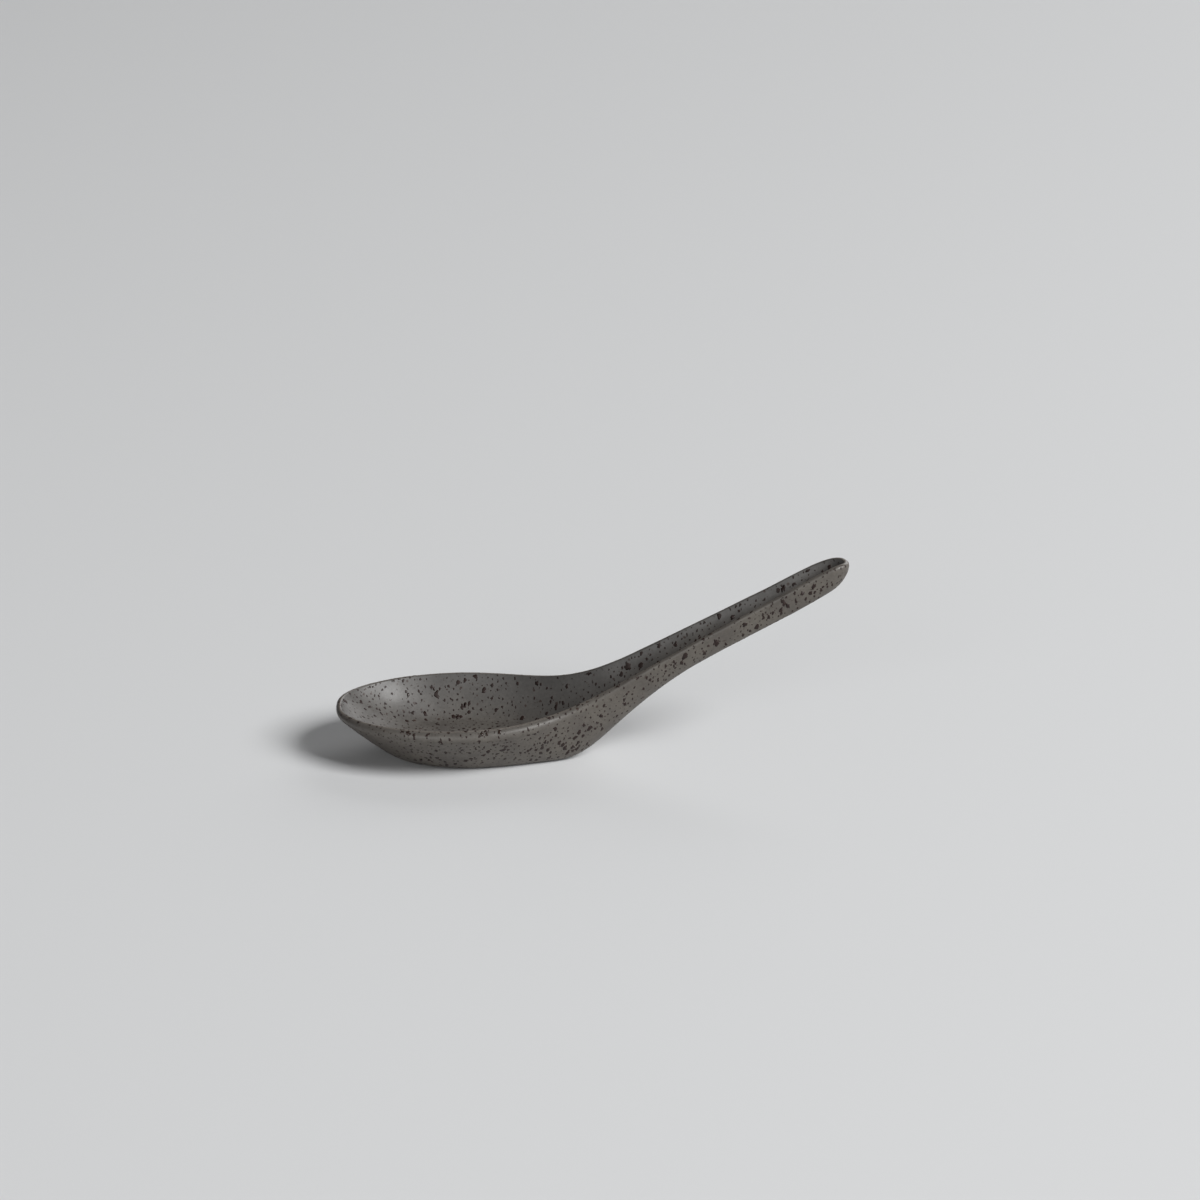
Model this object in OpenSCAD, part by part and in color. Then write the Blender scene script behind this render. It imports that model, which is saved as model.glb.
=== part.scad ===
// Soup spoon in speckled stoneware: a flat-bottomed egg-shaped bowl that runs on into a rising,
// open channel handle. The piece is pressed from one lump of clay, glazed and fired.
// The frame: X runs along the spoon from the bowl to the handle, Y across it, Z up from the table.
// The origin is the middle of the unglazed foot, on the table.

/* [Overall] */
// Length of the rim, level, from the tip of the bowl to the end of the handle
rim_l = 139; // [120:1:160]
// Height of the end of the handle above the table
spoon_h = 55; // [44:1:70]

/* [Bowl] */
// Length of the bowl, from its tip to the throat of the handle
bowl_l = 72; // [66:1:80]
// Width of the bowl over its rim
bowl_w = 47; // [40:1:56]
// Height of the bowl's rim above the table
bowl_h = 14.2; // [12:0.5:20]
// Thickness of the wall, whose rim is a half round
wall_t = 2.6; // [2:0.1:3.4]
// Thickness of the bowl's floor over the base
floor_t = 3.2; // [2.4:0.1:4.5]
// Depth by which the middle of the bowl's floor is dished
dish_d = 0.5; // [0:0.1:0.8]

/* [Base] */
// Distance from the tip of the bowl to the front of the flat base
base_x = 15.4; // [12:0.2:20]
// Length of the flat base, from its front to the heel
base_l = 50; // [44:1:56]
// Width of the flat base
base_w = 27.5; // [22:0.5:34]

/* [Handle] */
// Width of the handle over its rim at the throat
throat_w = 18; // [15:0.5:22]
// Width of the handle over its rim near its end
end_w = 12; // [10:0.5:15]
// Depth of the handle, from its rim to the edge of its underside
handle_d = 6.5; // [5.5:0.1:8]
// Width of the handle's underside between its edges
keel_w = 8.6; // [7:0.2:10]
// Depth by which the underside is crowned below its edges
crown_d = 0.7; // [0.2:0.1:1]
// Depth of the open channel below the rim
channel_d = 4; // [3.4:0.1:4.6]
// Width of the channel's floor
channel_w = 5.4; // [4:0.2:6.4]
// Length over which the channel's floor climbs to the rim at the end of the handle
ramp_l = 9; // [6:0.5:12]

/* [Glaze and foot] */
// Thickness of the fired glaze
glaze_t = 0.4; // [0.3:0.05:0.6]
// Height by which the bare foot stands proud of the glaze round it
foot_proud = 0.4; // [0.2:0.05:0.6]
// Distance from the edge of the base to the edge of the glaze
glaze_back = 1.8; // [1.2:0.1:3]
// Bare margin between the edge of the glaze and the foot
bare_margin = 0.4; // [0.2:0.1:0.8]

/* [Iron speckles] */
// Typical distance between two of the large speckles
speckle_gap = 8.5; // [7:0.5:16]
// Height by which a speckle stands proud of the glaze
speckle_h = 0.08; // [0.04:0.01:0.15]
// Seed of the scatter
speckle_seed = 11; // [1:1:99]

/* [Hidden] */

// Counts of the surface grid: steps between two control stations, rows up a wall, steps over the
// half-round rim and strips across the underside and the floor.
span_steps = 5;
wall_rows = 6;
rim_rows = 6;
strips = 6;

// The rim, the edge of the underside and the edge of the floor are three smooth closed curves. Each is
// led by control stations, numbered from the bowl's tip round one side to the end of the handle.
last = 12;
heel = 6;
stations = last * span_steps;

// Rim, bowl part: shares of the bowl's length, of half its width and of its height.
rim_bowl_shares = [
    [-0.001, 0.00, 1.00], [0.003, 0.35, 0.97], [0.128, 0.75, 0.98], [0.305, 0.98, 0.99],
    [0.510, 1.03, 1.01], [0.700, 0.90, 1.03]
];
// Rim, handle part: share of the way from the throat to the end of the handle, share of the narrowing
// from the throat's width to the end's, and share of the climb from the bowl's rim to the end.
rim_handle_shares = [
    [-0.153, -2.07, 0.051], [0.011, -0.66, 0.154], [0.200, 0.03, 0.326], [0.427, 0.47, 0.536],
    [0.679, 0.93, 0.758], [0.960, 1.00, 1.033], [1.021, 3.00, 0.992]
];
// Edge of the base: shares of its length and of half its width.
base_shares = [
    [-0.010, 0.00], [0.020, 0.48], [0.155, 0.85], [0.355, 1.04], [0.580, 0.96], [0.860, 0.63],
    [1.025, 0.44]
];
// Edge of the handle's underside: shares of the handle's depth, of half the underside's width and of the
// ramp. The last two stations set it back, which rounds the nose of the handle.
keel_shares = [
    [1.77, 1.05, 0.0], [1.12, 0.99, 0.0], [0.98, 1.00, 0.0], [1.00, 1.00, 0.0], [1.00, 0.87, 0.33],
    [1.12, 0.00, 1.08]
];
// Edge of the bowl's floor: shares of the base's length, of half the base's width and of the floor's
// thickness.
floor_shares = [
    [0.060, 0.00, 1.15], [0.085, 0.50, 1.12], [0.205, 0.84, 1.00], [0.390, 0.97, 1.00],
    [0.590, 0.87, 1.00], [0.810, 0.58, 1.05], [1.010, 0.32, 1.35]
];
// Edge of the channel's floor: shares of the channel's depth, of half its floor's width and of the ramp.
channel_shares = [
    [2.10, 1.10, 0.0], [1.20, 1.05, 0.0], [1.02, 1.00, 0.0], [1.00, 0.95, 0.0], [0.85, 0.80, 0.92],
    [0.80, 0.00, 0.90]
];
// How far each station leans back with the handle, and how full its wall is: 0 is a straight wall and 1
// is a quarter of an ellipse.
lean_shares = [0, 0, 0, 0, 0, 0.05, 0.4, 0.8, 1, 1, 1, 1, 0.3];
outer_full_shares = [0.2, 0.2, 0.2, 0.2, 0.2, 0.2, 0.5, 0.76, 0.76, 0.76, 0.76, 0.76, 0.76];
inner_full_shares = [0.35, 0.35, 0.35, 0.35, 0.35, 0.4, 0.55, 0.7, 0.7, 0.7, 0.7, 0.6, 0.6];
// How much of the crown the underside has at each station, and how much of the dish the floor has.
crown_shares = [0, 0, 0, 0, 0, 0, 0, 0.5, 1, 1, 1, 0.8, 0];
dish_shares = [0, 0.4, 0.8, 1, 1, 0.9, 0.8, 0.8, 0.8, 0.8, 0.8, 0.6, 0];

rim_r = wall_t / 2;
handle_l = rim_l - bowl_l;
climb = spoon_h - bowl_h;

function rim_control(k) = k < heel
    ? [
        rim_bowl_shares[k].x * bowl_l,
        rim_bowl_shares[k].y * bowl_w / 2,
        rim_bowl_shares[k].z * bowl_h
    ]
    : let (s = rim_handle_shares[k - heel]) [
        bowl_l + s.x * handle_l,
        k == last ? 0 : (throat_w + (end_w - throat_w) * s.y) / 2,
        bowl_h + s.z * climb
    ];
rim_controls = [for (k = [0 : last]) rim_control(k)];

// Lean of each station, from the slope of the rim there.
function slope(k) = let (a = rim_controls[max(k - 1, 0)], b = rim_controls[min(k + 1, last - 1)])
    atan2(b.z - a.z, b.x - a.x);
leans = [for (k = [0 : last]) lean_shares[k] == 0 ? 0 : lean_shares[k] * slope(min(k, last - 1))];

// A point below the rim's control station k, square to the handle, and set back along it.
function below_rim(k, depth, half_w, back) = [
    rim_controls[k].x + depth * sin(leans[k]) - back * cos(leans[k]),
    half_w,
    rim_controls[k].z - depth * cos(leans[k]) - back * sin(leans[k])
];
edge_controls = [
    for (k = [0 : last]) k <= heel
        ? [base_x + base_shares[k].x * base_l, base_shares[k].y * base_w / 2, foot_proud]
        : let (s = keel_shares[k - heel - 1])
            below_rim(k, s.x * handle_d, s.y * keel_w / 2, s.z * ramp_l)
];
floor_controls = [
    for (k = [0 : last]) k <= heel
        ? let (s = floor_shares[k])
            [base_x + s.x * base_l, s.y * base_w / 2, foot_proud + s.z * floor_t]
        : let (s = channel_shares[k - heel - 1])
            below_rim(k, s.x * channel_d, s.y * channel_w / 2, s.z * ramp_l)
];

// A cubic B-spline through a table of points or numbers, continued over both ends as in a mirror.
function flipped(p) = is_list(p) ? [p.x, -p.y, p.z] : p;
function control(c, k) = k < 0 ? flipped(c[-k]) : k > last ? flipped(c[2 * last - k]) : c[k];
function spline(c, s) = let (k = min(floor(s), last - 1), t = s - k) (
    pow(1 - t, 3) * control(c, k - 1)
    + (3 * pow(t, 3) - 6 * pow(t, 2) + 4) * control(c, k)
    + (1 + 3 * t + 3 * pow(t, 2) - 3 * pow(t, 3)) * control(c, k + 1)
    + pow(t, 3) * control(c, k + 2)
) / 6;
function along(c) = [for (i = [0 : stations]) spline(c, i / span_steps)];
function unit(v) = v / norm(v);

rim = along(rim_controls);
edge = along(edge_controls);
floor_edge = along(floor_controls);
lean = along(leans);
outer_full = along(outer_full_shares);
inner_full = along(inner_full_shares);
crown = along(crown_shares) * crown_d;
dish = along(dish_shares) * dish_d;

// At each station: up is square to the handle, and out points level away from the spoon.
up = [for (a = lean) [-sin(a), 0, cos(a)]];
run = [
    for (i = [0 : stations]) i == 0 ? [0, 1, 0] : i == stations ? [0, -1, 0]
        : rim[i + 1] - rim[i - 1]
];
out = [for (i = [0 : stations]) unit(cross(up[i], run[i]))];
rim_core = [for (i = [0 : stations]) rim[i] - out[i] * rim_r - up[i] * rim_r];

// A rib runs from the foot of a wall to its top: s is 0 at the foot and 1 at the top.
function rib(foot, top, up, full, s) =
    let (d = top - foot, rise = (d * up) * up, a = 90 * s)
    foot
    + ((1 - full) * s + full * sin(a)) * (d - rise)
    + ((1 - full) * s + full * (1 - cos(a))) * rise;

// Half rings of the whole surface, from the edge of the underside up the outside, over the rim and
// down the inside to the edge of the floor.
half_rings = concat(
    [for (r = [0 : wall_rows]) [for (i = [0 : stations])
        rib(edge[i], rim_core[i] + out[i] * rim_r, up[i], outer_full[i], r / wall_rows)]],
    [for (r = [1 : rim_rows - 1]) let (a = 180 * r / rim_rows) [for (i = [0 : stations])
        rim_core[i] + (out[i] * cos(a) + up[i] * sin(a)) * rim_r]],
    [for (r = [wall_rows : -1 : 0]) [for (i = [0 : stations])
        rib(floor_edge[i], rim_core[i] - out[i] * rim_r, up[i], inner_full[i], r / wall_rows)]]
);
ring_count = len(half_rings);
ring_points = 2 * stations;
rings = [
    for (h = half_rings)
        concat(h, [for (i = [stations - 1 : -1 : 1]) flipped(h[i])])
];

// Strips across the underside and across the floor, between the two sides of a ring. The glaze's
// opening at the foot follows the flat of the base, drawn in by glaze_back and rounded at both ends.
opening_strip = 1;
opening_start = [for (i = [1 : stations - 1]) if (edge[i].x > base_x + glaze_back) i][0];
opening_end = (heel - 1) * span_steps;
foot_mid = (edge[opening_start].x + edge[opening_end].x) / 2;
foot_half_l = (edge[opening_end].x - edge[opening_start].x) / 2;
end_round = 2.4;
end_w_share = 0.3;
function foot_half_w(i) = let (u = abs(edge[i].x - foot_mid) / foot_half_l)
    (base_w / 2 - glaze_back) * sqrt(1 - pow(u, end_round) * (1 - pow(end_w_share, 2)));
function by_opening(i) = i >= opening_start && i <= opening_end;
function strip_share(j) = 2 * j / strips - 1;
function strip_y(i, j) = let (t = strip_share(j), side = strip_share(strips - opening_strip))
    !by_opening(i) ? t * edge[i].y
    : abs(t) <= side ? foot_half_w(i) * t / side
    : sign(t) * (foot_half_w(i) + (edge[i].y - foot_half_w(i)) * (abs(t) - side) / (1 - side));
underside = [
    for (i = [1 : stations - 1]) [for (j = [1 : strips - 1])
        [edge[i].x, strip_y(i, j), edge[i].z]
            - up[i] * crown[i] * (1 - pow(strip_share(j), 2))]
];
floor_face = [
    for (i = [1 : stations - 1]) [for (j = [1 : strips - 1])
        [floor_edge[i].x, strip_share(j) * floor_edge[i].y, floor_edge[i].z]
            - up[i] * dish[i] * (1 - pow(strip_share(j), 2))]
];

// A point of a face, where the ends and sides of the strips lie on the ring round them.
function face_point(face, ring, i, j) =
    i == 0 ? ring[0] : i == stations ? ring[stations]
    : j == 0 ? ring[ring_points - i] : j == strips ? ring[i]
    : face[i - 1][j - 1];

// The outward direction at each point of the glazed surface, from its neighbours on both sides.
function turn(p) = (p + ring_points) % ring_points;
function beside(face, ring, p) =
    p == 0 ? face[0][strips / 2 - 1]
    : p == stations ? face[stations - 2][strips / 2 - 1]
    : p < stations ? face[p - 1][strips - 2]
    : face[ring_points - p - 1][0];
function ring_out(r, p) =
    let (
        low = r == 0 ? beside(underside, rings[0], p) : rings[r - 1][p],
        high = r == ring_count - 1 ? beside(floor_face, rings[r], p) : rings[r + 1][p]
    )
    unit(cross(high - low, rings[r][turn(p + 1)] - rings[r][turn(p - 1)]));
function face_out(face, ring, i, j) = unit(cross(
    face_point(face, ring, i, j + 1) - face_point(face, ring, i, j - 1),
    face_point(face, ring, i + 1, j) - face_point(face, ring, i - 1, j)
));
floor_ring = ring_count - 1;
outward = concat(
    [for (r = [0 : floor_ring]) for (p = [0 : ring_points - 1]) ring_out(r, p)],
    [for (i = [1 : stations - 1]) for (j = [1 : strips - 1]) face_out(underside, rings[0], i, j)],
    [for (i = [1 : stations - 1]) for (j = [1 : strips - 1])
        -face_out(floor_face, rings[floor_ring], i, j)]
);
glazed_points = concat(
    [for (ring = rings) each ring],
    [for (row = underside) each row],
    [for (row = floor_face) each row]
);
function below_glaze(depth) = glazed_points - depth * outward;

// The numbers of the points in that list, and the triangles between them.
face_size = (stations - 1) * (strips - 1);
surface_size = ring_count * ring_points + 2 * face_size;
function ring_number(r, p) = r * ring_points + turn(p);
function face_number(r, i, j) =
    i == 0 ? ring_number(r, 0) : i == stations ? ring_number(r, stations)
    : j == 0 ? ring_number(r, -i) : j == strips ? ring_number(r, i)
    : ring_count * ring_points + (r == 0 ? 0 : face_size) + (i - 1) * (strips - 1) + j - 1;
function two_triangles(a, b, c, d) = [[a, b, c], [a, c, d]];
function real_triangles(list) = [for (t = list) if (t[0] != t[1] && t[1] != t[2] && t[2] != t[0]) t];
function in_opening(i, j) = i >= opening_start && i < opening_end
    && j >= opening_strip && j < strips - opening_strip;
wall_triangles = [
    for (r = [0 : floor_ring - 1]) for (p = [0 : ring_points - 1])
        each two_triangles(
            ring_number(r, p), ring_number(r, p + 1),
            ring_number(r + 1, p + 1), ring_number(r + 1, p)
        )
];
function face_triangles(r, open) = real_triangles([
    for (i = [0 : stations - 1]) for (j = [0 : strips - 1]) if (!open || !in_opening(i, j))
        each two_triangles(
            face_number(r, i, j), face_number(r, i + 1, j),
            face_number(r, i + 1, j + 1), face_number(r, i, j + 1)
        )
]);
function turned_over(list) = [for (t = list) [t[2], t[1], t[0]]];
function surface_triangles(open) = concat(
    wall_triangles,
    face_triangles(0, open),
    turned_over(face_triangles(floor_ring, false))
);

// The edge of the glaze round the foot, as a closed loop of strip corners.
opening_far = strips - opening_strip;
opening_loop = concat(
    [for (i = [opening_start : opening_end]) [i, opening_strip]],
    [for (j = [opening_strip + 1 : opening_far]) [opening_end, j]],
    [for (i = [opening_end - 1 : -1 : opening_start]) [i, opening_far]],
    [for (j = [opening_far - 1 : -1 : opening_strip + 1]) [opening_start, j]]
);
loop_size = len(opening_loop);
function loop_number(k) = let (c = opening_loop[k % loop_size]) face_number(0, c.x, c.y);
function flat(p) = [p.x, p.y];

// The fired clay: the glazed form less the glaze, with the bare foot under its base.
module stoneware_body() {
    color("#b09c82")
    translate([-foot_mid, 0, 0]) {
        polyhedron(below_glaze(glaze_t), surface_triangles(false));
        linear_extrude(foot_proud + 2 * glaze_t)
        offset(delta = -bare_margin)
        polygon([for (k = [0 : loop_size - 1]) flat(glazed_points[loop_number(k)])]);
    }
}

// The glaze: a skin over the whole clay but the foot.
module glaze_coat() {
    color("#58534e")
    translate([-foot_mid, 0, 0])
    polyhedron(
        concat(glazed_points, below_glaze(glaze_t)),
        concat(
            surface_triangles(true),
            [for (t = turned_over(surface_triangles(true))) t + surface_size * [1, 1, 1]],
            [for (k = [0 : loop_size - 1]) each two_triangles(
                loop_number(k), loop_number(k + 1),
                loop_number(k + 1) + surface_size, loop_number(k) + surface_size
            )]
        )
    );
}

// Iron speckles: flat pools of molten iron on the glaze. Each lies round one point of the glazed
// surface, chosen by chance in proportion to the area round it. Its outline has a corner on each of
// the six edges that meet there, so its underside lies on the glaze, face to face. It reaches less
// than half-way along an edge, so that neighbours keep apart.
reach_share = 0.46;
smallest_share = 0.35;
corner_share = 0.5;
top_share = 0.75;
wall_spots = [
    for (r = [1 : floor_ring - 1]) for (p = [0 : ring_points - 1]) [
        ring_number(r, p),
        ring_number(r, p + 1), ring_number(r + 1, p + 1), ring_number(r + 1, p),
        ring_number(r, p - 1), ring_number(r - 1, p - 1), ring_number(r - 1, p)
    ]
];
floor_spots = [
    for (i = [2 : stations - 2]) for (j = [1 : strips - 1]) let (r = floor_ring) [
        face_number(r, i, j),
        face_number(r, i, j + 1), face_number(r, i + 1, j + 1), face_number(r, i + 1, j),
        face_number(r, i, j - 1), face_number(r, i - 1, j - 1), face_number(r, i - 1, j)
    ]
];
spots = concat(wall_spots, floor_spots);
corners = 6;
function next(n) = (n + 1) % corners;
function edge_of(spot, n) = glazed_points[spot[n + 1]] - glazed_points[spot[0]];
function area_round(spot) = [
    for (n = [0 : corners - 1]) norm(cross(edge_of(spot, n), edge_of(spot, next(n)))) / 2
] * [for (n = [1 : corners]) 1 / 3];
chance = rands(0, 1, len(spots), speckle_seed);
size_chance = rands(0, 1, len(spots), speckle_seed + len(spots));
speckled = [
    for (k = [0 : len(spots) - 1]) if (chance[k] * pow(speckle_gap, 2) < area_round(spots[k])) k
];
function speckle_points(k) =
    let (
        spot = spots[k],
        middle = glazed_points[spot[0]],
        lift = outward[spot[0]] * speckle_h,
        share = reach_share * (smallest_share + (1 - smallest_share) * pow(size_chance[k], 2)),
        corner = rands(corner_share, 1, corners, speckle_seed + k) * share,
        outline = [for (n = [0 : corners - 1]) edge_of(spot, n) * corner[n]]
    )
    concat(
        [middle],
        [for (q = outline) middle + q],
        [middle + lift],
        [for (q = outline) middle + top_share * q + lift]
    );
speckle_size = 2 * (corners + 1);
function speckle_faces(first) =
    let (top = first + corners + 1)
    [for (n = [1 : corners]) let (m = 1 + n % corners) each [
        [first, first + m, first + n],
        [top, top + n, top + m],
        [first + m, top + m, top + n],
        [first + m, top + n, first + n]
    ]];
module iron_speckles() {
    color("#3a2a26")
    translate([-foot_mid, 0, 0])
    polyhedron(
        [for (k = speckled) each speckle_points(k)],
        [for (n = [0 : len(speckled) - 1]) each speckle_faces(speckle_size * n)]
    );
}

stoneware_body();
glaze_coat();
iron_speckles();
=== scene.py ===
# %% [markdown]
# # A soup spoon in speckled stoneware
# The real spoon is one piece of fired clay, a flat-bottomed bowl that runs on into an open channel handle.
# It was dipped in a satin glaze full of iron speckles, and fired on a foot that was wiped bare. So there
# are three pieces to make: the clay, the glaze over it, and the speckles.
#
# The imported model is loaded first, because everything else has to fit its frame: metres, X along the
# spoon, Z up, and the origin in the middle of the foot.

# %% Load the frame
import math

import bpy
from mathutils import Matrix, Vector
from mathutils.bvhtree import BVHTree


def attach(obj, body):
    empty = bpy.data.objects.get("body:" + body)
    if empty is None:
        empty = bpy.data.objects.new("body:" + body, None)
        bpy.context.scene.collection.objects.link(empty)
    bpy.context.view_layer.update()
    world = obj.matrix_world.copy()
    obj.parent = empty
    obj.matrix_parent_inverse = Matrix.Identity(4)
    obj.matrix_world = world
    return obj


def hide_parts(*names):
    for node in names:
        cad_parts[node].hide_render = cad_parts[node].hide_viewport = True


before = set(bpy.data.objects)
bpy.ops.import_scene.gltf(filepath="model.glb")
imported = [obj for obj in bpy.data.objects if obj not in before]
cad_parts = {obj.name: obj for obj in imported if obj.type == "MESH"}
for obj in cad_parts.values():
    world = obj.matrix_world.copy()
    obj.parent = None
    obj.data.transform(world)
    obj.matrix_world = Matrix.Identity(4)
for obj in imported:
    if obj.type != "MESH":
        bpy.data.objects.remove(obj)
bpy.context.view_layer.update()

MM = 0.001

# %% [markdown]
# ## The camera
# The outline of the spoon in the picture fixes it: the long side is seen square on, from 20 degrees above
# the table, with a long lens. The same numbers later give the ray through any pixel of the picture, which
# is how the largest speckles find their places. The cell also has a helper that puts an object in the scene.

# %% Camera
PICTURE = 1200
ELEVATION = math.radians(20.19)
DISTANCE = 1100 * MM
TARGET = Vector((34.74 * MM, 0, 43.89 * MM))
FOCAL_PIXELS = 4062
SENSOR = 36


def new_object(name, data):
    made = bpy.data.objects.new(name, data)
    bpy.context.scene.collection.objects.link(made)
    return made


towards_camera = Vector((0, -math.cos(ELEVATION), math.sin(ELEVATION)))
camera = new_object("camera", bpy.data.cameras.new("camera"))
camera.data.sensor_width = SENSOR
camera.data.lens = FOCAL_PIXELS * SENSOR / PICTURE
camera.location = TARGET + towards_camera * DISTANCE
camera.rotation_euler = (math.pi / 2 - ELEVATION, 0, 0)
bpy.context.scene.camera = camera
print("camera: lens", round(camera.data.lens, 1), "mm, at", [round(c, 3) for c in camera.location])

# %% [markdown]
# ## Helpers for node trees
# In a script each node of a tree is a line. One helper adds a node by its kind, without the prefix that
# says which trees it is for, and its operation. It sets the node's options and fills its sockets in order:
# it links a socket to another one, None leaves one alone, and a dict fills sockets by name. A second helper
# starts a geometry tree with named inputs, so that its sizes can be changed without opening it.
#
# Noise swings to both sides of its middle, which is taken off where it has to push both ways. Four numbers
# under one name are a range that goes in and the range that comes out.

# %% Node helpers
SHARED_PREFIXES = ("ShaderNode", "FunctionNode", "")
NOISE_MIDDLE = 0.5


def add(tree, kind, *inputs, **options):
    """Adds a node to a tree and returns its first output."""
    kind, *operation = kind.split()
    prefixes = (tree.bl_idname.removesuffix("Tree"), *SHARED_PREFIXES)
    node = tree.nodes.new(next(p + kind for p in prefixes if hasattr(bpy.types, p + kind)))
    if operation:
        node.operation = operation[0]
    for name, value in options.items():
        setattr(node, name, value)
    filled = list(zip([s for s in node.inputs if s.enabled], inputs))
    if inputs and isinstance(inputs[-1], dict):
        filled = filled[: len(inputs) - 1] + [(node.inputs[n], v) for n, v in inputs[-1].items()]
    for socket, value in filled:
        if isinstance(value, (bpy.types.NodeSocket, list)):
            for source in value if isinstance(value, list) else [value]:
                tree.links.new(source, socket)
        elif value is not None:
            socket.default_value = value
    return next((s for s in node.outputs if s.enabled), None)


def new_tree(name, inputs, outputs):
    """A geometry tree with named sockets; returns the tree and its inputs by name."""
    tree = bpy.data.node_groups.new(name, "GeometryNodeTree")
    for label, kind, *value in inputs:
        item = tree.interface.new_socket(label, in_out="INPUT", socket_type="NodeSocket" + kind)
        if value:
            item.default_value = value[0]
    for label, kind in outputs:
        tree.interface.new_socket(label, in_out="OUTPUT", socket_type="NodeSocket" + kind)
    given = add(tree, "NodeGroupInput").node.outputs
    return tree, {label: given[label] for label, *rest in inputs}


print("helpers: add, new_tree")

# %% [markdown]
# ## Sizes
# These are real sizes in millimetres. The outline comes from the picture, and the thicknesses are what
# such spoons have. The stations below are shares of them, so a wider bowl or a longer handle is one change.

# %% Sizes
RIM_L = 139 * MM
SPOON_H = 55 * MM
BOWL_L = 72 * MM
BOWL_W = 47 * MM
BOWL_H = 14.2 * MM
FLOOR_T = 3.2 * MM
DISH_D = 0.5 * MM
BASE_X = 15.4 * MM
BASE_L = 50 * MM
BASE_W = 27.5 * MM
THROAT_W = 18 * MM
END_W = 12 * MM
HANDLE_D = 6.5 * MM
KEEL_W = 8.6 * MM
CROWN_D = 0.7 * MM
CHANNEL_D = 4 * MM
CHANNEL_W = 5.4 * MM
RAMP_L = 9 * MM
GLAZE_T = 0.4 * MM
FOOT_PROUD = 0.4 * MM
GLAZE_BACK = 1.8 * MM
print("spoon:", round(RIM_L / MM), "by", round(BOWL_W / MM), "by", round(SPOON_H / MM), "mm")

# %% [markdown]
# ## Stations
# A potter would draw this spoon as a row of cross-sections. Thirteen of them, called stations, run from
# the tip of the bowl round one side to the end of the handle, and the other side mirrors them. Each
# station says where the rim, the edge of the underside and the edge of the floor are, how far the
# section leans back with the handle, and how its two walls swell.

# %% Stations
LAST = 12
HEEL = 6
RIM_BOWL = [
    (-0.001, 0.00, 1.00), (0.003, 0.35, 0.97), (0.128, 0.75, 0.98), (0.305, 0.98, 0.99),
    (0.510, 1.03, 1.01), (0.700, 0.90, 1.03),
]
RIM_HANDLE = [
    (-0.153, -2.07, 0.051), (0.011, -0.66, 0.154), (0.200, 0.03, 0.326), (0.427, 0.47, 0.536),
    (0.679, 0.93, 0.758), (0.960, 1.00, 1.033), (1.021, 3.00, 0.992),
]
BASE_EDGE = [
    (-0.010, 0.00), (0.020, 0.48), (0.155, 0.85), (0.355, 1.04), (0.580, 0.96), (0.860, 0.63),
    (1.025, 0.44),
]
KEEL_EDGE = [
    (1.77, 1.05, 0.0), (1.12, 0.99, 0.0), (0.98, 1.00, 0.0), (1.00, 1.00, 0.0), (1.00, 0.87, 0.86),
    (1.10, 0.00, 0.82),
]
BOWL_FLOOR = [
    (0.060, 0.00, 1.15), (0.085, 0.50, 1.12), (0.205, 0.84, 1.00), (0.390, 0.97, 1.00),
    (0.590, 0.87, 1.00), (0.810, 0.58, 1.05), (1.010, 0.32, 1.35),
]
CHANNEL_FLOOR = [
    (2.10, 1.10, 0.0), (1.20, 1.05, 0.0), (1.02, 1.00, 0.0), (1.00, 0.95, 0.0), (0.85, 0.80, 0.92),
    (0.80, 0.00, 0.90),
]
LEAN = [0, 0, 0, 0, 0, 0.05, 0.4, 0.8, 1, 1, 1, 1, 0.3]
SWELL = {
    "crown": [0, 0, 0, 0, 0, 0, 0, 0.5, 1, 1, 1, 0.4, -0.2],
    "dish": [-0.2, 0.4, 0.8, 1, 1, 0.9, 0.8, 0.8, 0.8, 0.8, 0.8, 0.6, -0.3],
    # Reach of a wall's two handles, as shares of its level and of its upright extent.
    "outer_low": [0.14] * 6 + [0.30] + [0.45] * 6,
    "outer_high": [0.12] * 6 + [0.25] + [0.39] * 6,
    "inner_low": [0.36] * 6 + [0.40] + [0.42] * 6,
    "inner_high": [0.30] * 6 + [0.32] + [0.35] * 6,
    # How far the wall flares out from upright where it meets the rim.
    "flare": [math.radians(degrees) for degrees in [38] * 6 + [28] + [14] * 6],
    # The radius with which the rim rolls over to the outside.
    "roll": [r * MM for r in (0.9, 1.1, 1.5, 1.8, 2.0, 2.0, 1.8, 1.3, 0.9, 0.8, 0.8, 0.9, 1.0)],
}
print("stations:", LAST + 1, "a side; the handle leaves the bowl at", HEEL)

# %% [markdown]
# ## From shares to points
# The bowl's stations are measured level, from its tip. Along the handle, the edges of the underside and
# of the channel are measured square to its slope, as one would hold a ruler to it.

# %% Points of the stations
def rim_station(k):
    if k < HEEL:
        x, y, z = RIM_BOWL[k]
        return Vector((x * BOWL_L, y * BOWL_W / 2, z * BOWL_H))
    x, y, z = RIM_HANDLE[k - HEEL]
    half_w = 0 if k == LAST else (THROAT_W + (END_W - THROAT_W) * y) / 2
    return Vector((BOWL_L + x * (RIM_L - BOWL_L), half_w, BOWL_H + z * (SPOON_H - BOWL_H)))


rim_points = [rim_station(k) for k in range(LAST + 1)]


def lean_at(k):
    near, far = rim_points[max(min(k, LAST - 1) - 1, 0)], rim_points[min(k + 1, LAST - 1)]
    return LEAN[k] * math.atan2(far.z - near.z, far.x - near.x)


leans = [lean_at(k) for k in range(LAST + 1)]


def below_rim(k, depth, half_w, back):
    """A point below station k of the rim, square to the handle and set back along it."""
    s, c = math.sin(leans[k]), math.cos(leans[k])
    return Vector((rim_points[k].x + depth * s - back * c, half_w, rim_points[k].z - depth * c - back * s))


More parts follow.
